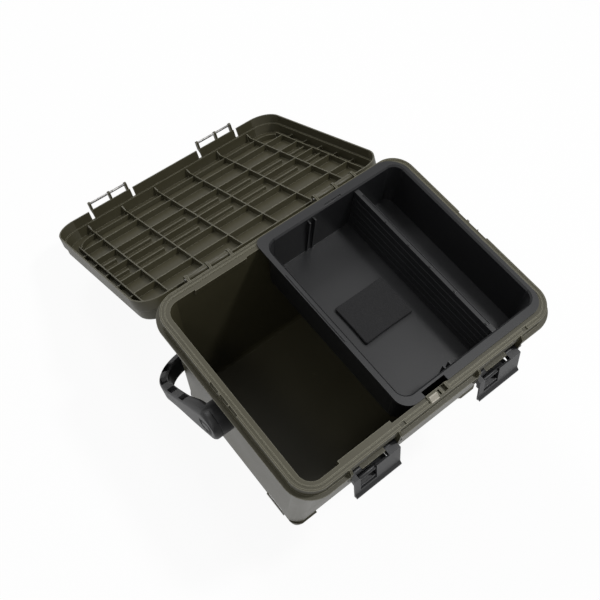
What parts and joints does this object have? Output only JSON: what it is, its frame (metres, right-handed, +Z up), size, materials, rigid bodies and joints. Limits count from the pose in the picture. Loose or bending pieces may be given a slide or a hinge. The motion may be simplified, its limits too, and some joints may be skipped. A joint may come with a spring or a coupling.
{
  "type": "tackle box",
  "caption": "Hinged-lid fishing tackle box with a lift-out tray and divider, two front lever latches and a swinging carry handle.",
  "frame": {"origin": "centre of the flat underside, midway along the rim lip both ways", "axes": "+X along the front to the right, +Y towards the hinge side, +Z up"},
  "size_m": [0.49, 0.6786, 0.3024],
  "materials": {
    "olive_plastic": "fine moulded grain, satin",
    "black_plastic": "satin",
    "tray_plastic": "satin",
    "handle_plastic": "matte",
    "pale_plastic": "satin",
    "steel": "dull",
    "foam": "fine foam"
  },
  "bodies": {
    "body": {"body_shell": "olive_plastic", "corner_feet": "olive_plastic", "lock_plate": "pale_plastic", "pivot_housing_left": "black_plastic", "pivot_housing_right": "black_plastic", "pivot_pin_left": "steel", "pivot_pin_right": "steel", "hinge_pin_left": "steel", "hinge_pin_right": "steel", "latch_pin_left": "black_plastic", "latch_pin_right": "black_plastic"},
    "lid": {"lid_shell": "olive_plastic", "catch_rod_left": "steel", "catch_rod_right": "steel"},
    "handle": {"handle_bail": "handle_plastic"},
    "latch_left": {"latch_lever_left": "black_plastic", "claw_pin_left": "steel"},
    "latch_right": {"latch_lever_right": "black_plastic", "claw_pin_right": "steel"},
    "claw_left": {"latch_claw_left": "black_plastic"},
    "claw_right": {"latch_claw_right": "black_plastic"},
    "tray": {"tray": "tray_plastic", "tray_pad": "foam"},
    "divider": {"divider": "tray_plastic"}
  },
  "joints": [
    {"name": "lid_hinge", "type": "hinge", "parent": "body", "child": "lid", "pos_m": [0, 0.1813, 0.2739], "axis": [-1, 0, 0], "range_deg": [-210, 0]},
    {"name": "handle_swing", "type": "hinge", "parent": "body", "child": "handle", "pos_m": [0, 0.008, 0.228], "axis": [1, 0, 0], "range_deg": [0, 26]},
    {"name": "latch_left_lever", "type": "hinge", "parent": "body", "child": "latch_left", "pos_m": [-0.11, -0.1655, 0.263], "axis": [-1, 0, 0], "range_deg": [-12, 95]},
    {"name": "latch_right_lever", "type": "hinge", "parent": "body", "child": "latch_right", "pos_m": [0.11, -0.1655, 0.263], "axis": [-1, 0, 0], "range_deg": [-12, 95]},
    {"name": "claw_left_swing", "type": "hinge", "parent": "latch_left", "child": "claw_left", "pos_m": [-0.12625, -0.17408, 0.25869], "axis": [1, 0, 0], "range_deg": [-192, 0]},
    {"name": "claw_right_swing", "type": "hinge", "parent": "latch_right", "child": "claw_right", "pos_m": [0.09375, -0.17408, 0.25869], "axis": [1, 0, 0], "range_deg": [-192, 0]},
    {"name": "tray_lift", "type": "slide", "parent": "body", "child": "tray", "axis": [0, 0, 1], "range_m": [0, 0.12]},
    {"name": "divider_lift", "type": "slide", "parent": "tray", "child": "divider", "axis": [0, 0, 1], "range_m": [0, 0.1]}
  ]
}
